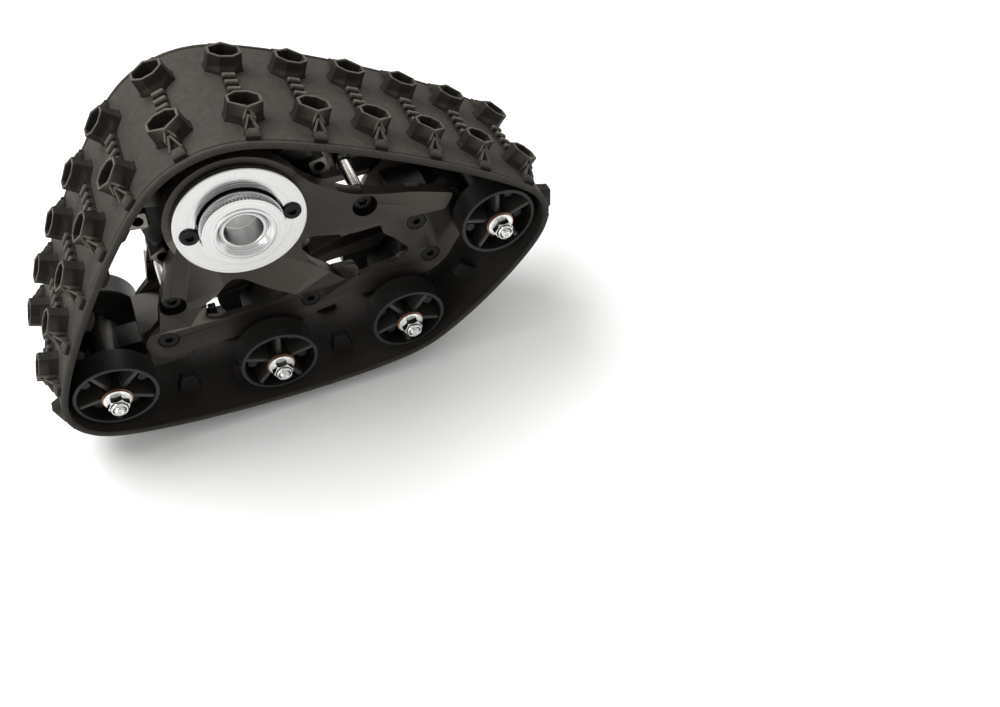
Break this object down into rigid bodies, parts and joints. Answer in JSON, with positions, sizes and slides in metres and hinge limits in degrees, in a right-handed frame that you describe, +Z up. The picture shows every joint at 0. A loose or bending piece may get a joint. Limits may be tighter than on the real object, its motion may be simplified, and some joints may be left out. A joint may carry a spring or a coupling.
{
  "type": "model vehicle track unit",
  "caption": "Rubber track unit for a model vehicle: a driven sprocket, spoked wheels and sliding belt tensioners between two side plates inside a lugged rubber belt.",
  "frame": {"origin": "on the ground below the middle of the bounding box", "axes": "+X forward to the raised front idler, +Z up, -Y to the outboard side"},
  "size_m": [0.1614, 0.0528, 0.1102],
  "materials": {
    "rubber": "moulded matte black rubber",
    "anodised": "dark brown-grey anodised, fine satin",
    "polished": "turned and polished",
    "plastic": "moulded satin black",
    "steel": "bright zinc plated",
    "black_steel": "black oxide",
    "black_alloy": "black anodised"
  },
  "bodies": {
    "frame": {"belt": "rubber", "outer_side_plate": "anodised", "inner_side_plate": "anodised", "outer_hub_flange": "polished", "inner_hub_flange": "polished", "flange_screw_front": "black_steel", "flange_screw_rear": "black_steel", "outer_drive_bearing": "steel", "inner_drive_bearing": "steel", "front_block": "black_alloy", "middle_block": "black_alloy", "rear_block": "black_alloy", "front_cross_rod": "steel", "rear_cross_rod": "steel", "front_rod_screw": "black_steel", "rear_rod_screw": "black_steel", "rail_screw_1": "black_steel", "rail_screw_2": "black_steel", "rail_screw_3": "black_steel", "rail_screw_4": "black_steel", "bogie_front_axle": "steel", "bogie_front_nut_outer": "steel", "bogie_front_nut_inner": "steel", "bogie_rear_axle": "steel", "bogie_rear_nut_outer": "steel", "bogie_rear_nut_inner": "steel"},
    "sprocket": {"drive_sleeve": "polished", "knurled_hub": "polished", "outer_sprocket_disc": "black_alloy", "inner_sprocket_disc": "black_alloy", "sprocket_bar_1": "black_alloy", "sprocket_bar_2": "black_alloy", "sprocket_bar_3": "black_alloy", "sprocket_bar_4": "black_alloy", "sprocket_bar_5": "black_alloy", "sprocket_bar_6": "black_alloy", "sprocket_bar_7": "black_alloy", "sprocket_bar_8": "black_alloy", "sprocket_bar_9": "black_alloy", "sprocket_bar_10": "black_alloy", "sprocket_bar_11": "black_alloy"},
    "front_tensioner": {"front_carrier": "black_alloy", "front_axle": "steel", "front_nut_outer": "steel", "front_nut_inner": "steel", "front_tension_screw": "steel"},
    "rear_tensioner": {"rear_carrier": "black_alloy", "rear_axle": "steel", "rear_nut_outer": "steel", "rear_nut_inner": "steel", "rear_tension_screw_outer": "black_steel", "rear_tension_screw_inner": "black_steel"},
    "front_wheel_outer_body": {"front_wheel_outer": "plastic"},
    "front_wheel_inner_body": {"front_wheel_inner": "plastic"},
    "bogie_front_wheel_outer_body": {"bogie_front_wheel_outer": "plastic"},
    "bogie_front_wheel_inner_body": {"bogie_front_wheel_inner": "plastic"},
    "bogie_rear_wheel_outer_body": {"bogie_rear_wheel_outer": "plastic"},
    "bogie_rear_wheel_inner_body": {"bogie_rear_wheel_inner": "plastic"},
    "rear_wheel_outer_body": {"rear_wheel_outer": "plastic"},
    "rear_wheel_inner_body": {"rear_wheel_inner": "plastic"}
  },
  "joints": [
    {"name": "sprocket_spin", "type": "hinge", "parent": "frame", "child": "sprocket", "pos_m": [-0.01404, 0, 0.07477], "axis": [0, 1, 0], "continuous": true},
    {"name": "front_tension_slide", "type": "slide", "parent": "frame", "child": "front_tensioner", "axis": [1, 0, 0], "range_m": [-0.003, 0]},
    {"name": "rear_tension_slide", "type": "slide", "parent": "frame", "child": "rear_tensioner", "axis": [1, 0, 0], "range_m": [0, 0.003]},
    {"name": "front_wheel_outer_spin", "type": "hinge", "parent": "front_tensioner", "child": "front_wheel_outer_body", "pos_m": [0.05966, 0, 0.05357], "axis": [0, 1, 0], "continuous": true},
    {"name": "front_wheel_inner_spin", "type": "hinge", "parent": "front_tensioner", "child": "front_wheel_inner_body", "pos_m": [0.05966, 0, 0.05357], "axis": [0, 1, 0], "continuous": true},
    {"name": "bogie_front_wheel_outer_spin", "type": "hinge", "parent": "frame", "child": "bogie_front_wheel_outer_body", "pos_m": [0.02886, 0, 0.02177], "axis": [0, 1, 0], "continuous": true},
    {"name": "bogie_front_wheel_inner_spin", "type": "hinge", "parent": "frame", "child": "bogie_front_wheel_inner_body", "pos_m": [0.02886, 0, 0.02177], "axis": [0, 1, 0], "continuous": true},
    {"name": "bogie_rear_wheel_outer_spin", "type": "hinge", "parent": "frame", "child": "bogie_rear_wheel_outer_body", "pos_m": [-0.01374, 0, 0.02027], "axis": [0, 1, 0], "continuous": true},
    {"name": "bogie_rear_wheel_inner_spin", "type": "hinge", "parent": "frame", "child": "bogie_rear_wheel_inner_body", "pos_m": [-0.01374, 0, 0.02027], "axis": [0, 1, 0], "continuous": true},
    {"name": "rear_wheel_outer_spin", "type": "hinge", "parent": "rear_tensioner", "child": "rear_wheel_outer_body", "pos_m": [-0.06124, 0, 0.02687], "axis": [0, 1, 0], "continuous": true},
    {"name": "rear_wheel_inner_spin", "type": "hinge", "parent": "rear_tensioner", "child": "rear_wheel_inner_body", "pos_m": [-0.06124, 0, 0.02687], "axis": [0, 1, 0], "continuous": true}
  ],
  "couplings": [
    {"joint": "front_wheel_outer_spin", "follows": "sprocket_spin", "ratio": 2.429},
    {"joint": "front_wheel_inner_spin", "follows": "sprocket_spin", "ratio": 2.429},
    {"joint": "bogie_front_wheel_outer_spin", "follows": "sprocket_spin", "ratio": 2.429},
    {"joint": "bogie_front_wheel_inner_spin", "follows": "sprocket_spin", "ratio": 2.429},
    {"joint": "bogie_rear_wheel_outer_spin", "follows": "sprocket_spin", "ratio": 2.429},
    {"joint": "bogie_rear_wheel_inner_spin", "follows": "sprocket_spin", "ratio": 2.429},
    {"joint": "rear_wheel_outer_spin", "follows": "sprocket_spin", "ratio": 2.429},
    {"joint": "rear_wheel_inner_spin", "follows": "sprocket_spin", "ratio": 2.429}
  ]
}
